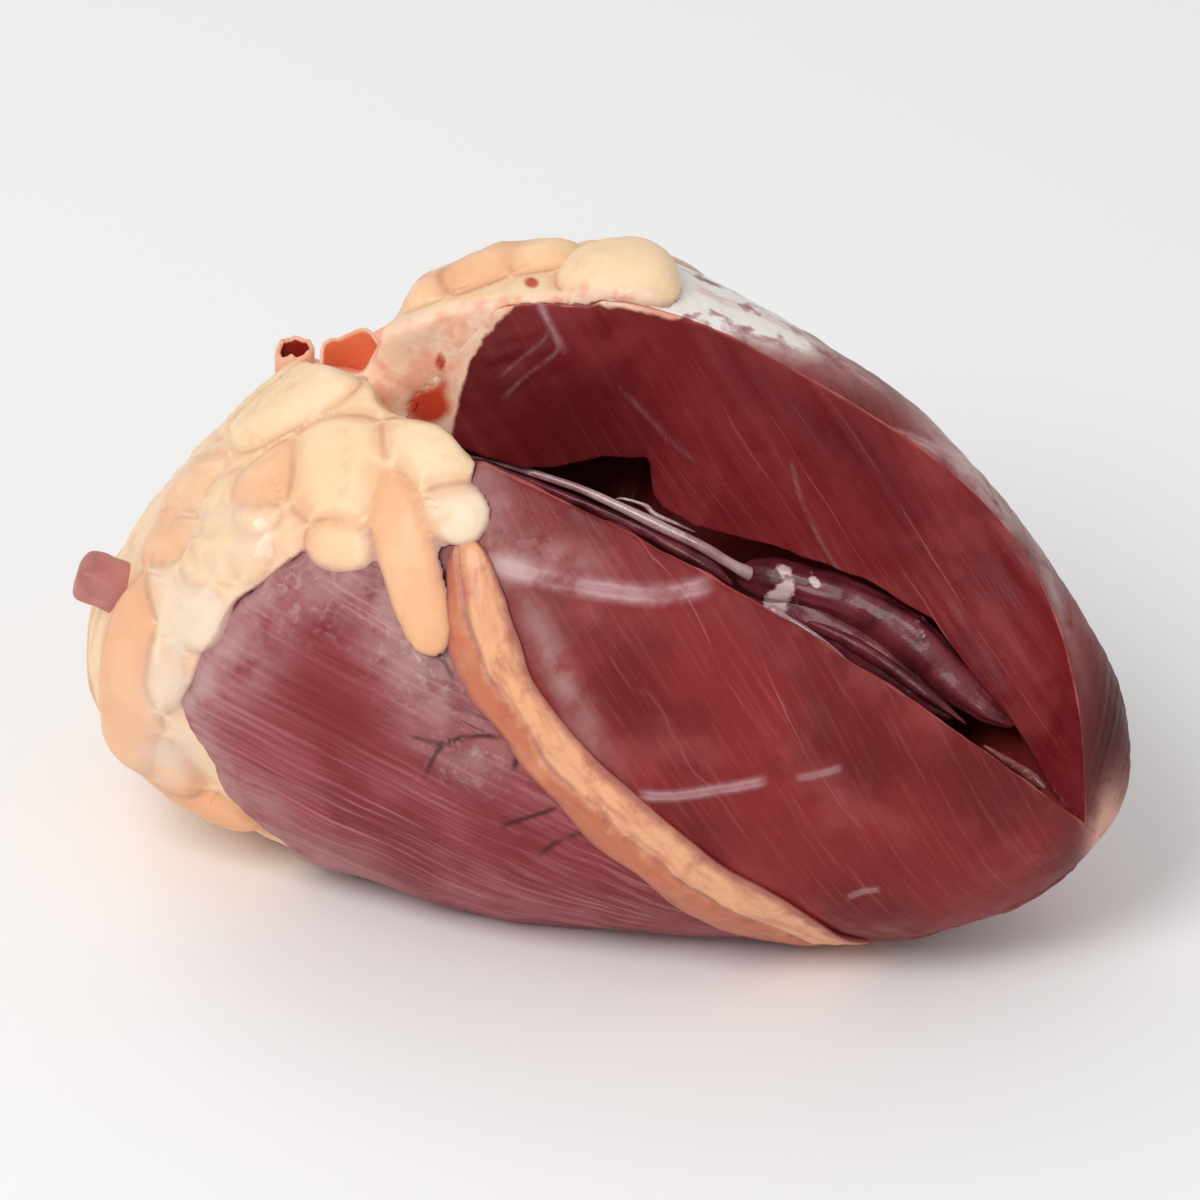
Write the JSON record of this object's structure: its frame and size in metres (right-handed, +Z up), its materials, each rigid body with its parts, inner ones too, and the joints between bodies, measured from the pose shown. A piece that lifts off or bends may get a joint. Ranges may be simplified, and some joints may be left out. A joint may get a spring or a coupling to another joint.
{
  "type": "beef heart",
  "caption": "Raw beef heart slit open lengthwise down the left ventricle, with a lobed fat collar at the base, lying on its side.",
  "frame": {"origin": "middle of the underside of the bounding box, on the surface that the heart lies on", "axes": "+X from the fat base towards the apex, +Y away from the slit side, +Z up"},
  "size_m": [0.232, 0.1524, 0.1362],
  "materials": {
    "muscle": "raw dark red muscle, moist and glossy",
    "fat": "creamy fat, satin with moist highlights",
    "groove_fat": "orange tan fat, satin",
    "vessel": "orange pink vessel wall, moist",
    "tissue": "pinkish brown tissue, satin"
  },
  "bodies": {
    "root": {"heart_muscle": "muscle", "fat_collar": "fat", "front_groove_fat": "groove_fat", "back_groove_fat": "groove_fat", "aorta_stub": "vessel", "small_vessel": "vessel", "tissue_stub": "tissue"}
  },
  "joints": []
}
